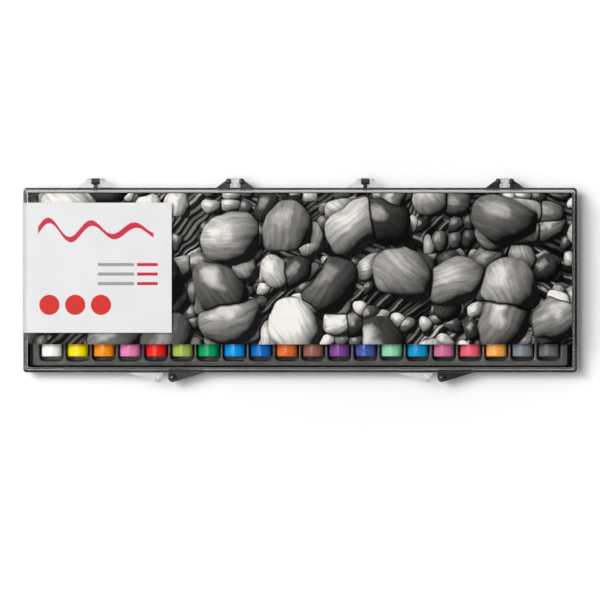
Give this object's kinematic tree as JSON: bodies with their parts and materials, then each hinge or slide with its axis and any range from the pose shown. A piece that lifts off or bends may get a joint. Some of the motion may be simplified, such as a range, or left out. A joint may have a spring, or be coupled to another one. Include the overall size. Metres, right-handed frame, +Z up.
{
  "type": "hinged soft pastel box",
  "caption": "Flat hinged plastic box with a clear lid and a dark formed tray that holds a row of round soft pastel sticks, one to a slot.",
  "frame": {"origin": "middle of the base's flat underside, on the surface that the box rests on", "axes": "+X along the row of sticks, from the white one to the dark grey one; +Y towards the hinge; +Z up through the lid"},
  "size_m": [0.2692, 0.0991, 0.0172],
  "materials": {
    "black_shell": "glossy black polystyrene",
    "clear_shell": "clear polystyrene",
    "charcoal_tray": "satin charcoal plastic",
    "printed_card": "card printed in warm greys",
    "white_foam": "soft open-cell foam",
    "paper_label": "coated white paper",
    "chalk_white": "dry matt chalk pastel",
    "chalk_yellow": "dry matt chalk pastel",
    "chalk_orange": "dry matt chalk pastel",
    "chalk_pink": "dry matt chalk pastel",
    "chalk_red": "dry matt chalk pastel",
    "chalk_olive_green": "dry matt chalk pastel",
    "chalk_green": "dry matt chalk pastel",
    "chalk_sky_blue": "dry matt chalk pastel",
    "chalk_blue": "dry matt chalk pastel",
    "chalk_burnt_orange": "dry matt chalk pastel",
    "chalk_brown": "dry matt chalk pastel",
    "chalk_purple": "dry matt chalk pastel",
    "chalk_blue_violet": "dry matt chalk pastel",
    "chalk_mint": "dry matt chalk pastel",
    "chalk_cyan_blue": "dry matt chalk pastel",
    "chalk_mauve": "dry matt chalk pastel",
    "chalk_raspberry": "dry matt chalk pastel",
    "chalk_amber": "dry matt chalk pastel",
    "chalk_slate_grey": "dry matt chalk pastel",
    "chalk_dark_grey": "dry matt chalk pastel"
  },
  "bodies": {
    "base": {"base_shell": "black_shell", "pastel_tray": "charcoal_tray", "pastel_01_white": "chalk_white", "pastel_02_yellow": "chalk_yellow", "pastel_03_orange": "chalk_orange", "pastel_04_pink": "chalk_pink", "pastel_05_red": "chalk_red", "pastel_06_olive_green": "chalk_olive_green", "pastel_07_green": "chalk_green", "pastel_08_sky_blue": "chalk_sky_blue", "pastel_09_blue": "chalk_blue", "pastel_10_burnt_orange": "chalk_burnt_orange", "pastel_11_brown": "chalk_brown", "pastel_12_purple": "chalk_purple", "pastel_13_blue_violet": "chalk_blue_violet", "pastel_14_mint": "chalk_mint", "pastel_15_cyan_blue": "chalk_cyan_blue", "pastel_16_mauve": "chalk_mauve", "pastel_17_raspberry": "chalk_raspberry", "pastel_18_amber": "chalk_amber", "pastel_19_slate_grey": "chalk_slate_grey", "pastel_20_dark_grey": "chalk_dark_grey"},
    "lid": {"lid_shell": "clear_shell", "insert_card": "printed_card", "foam_pad": "white_foam", "lid_label": "paper_label"}
  },
  "joints": [
    {"name": "lid_hinge", "type": "hinge", "parent": "base", "child": "lid", "pos_m": [0, 0.04795, 0.0085], "axis": [-1, 0, 0], "range_deg": [0, 178.5]}
  ]
}
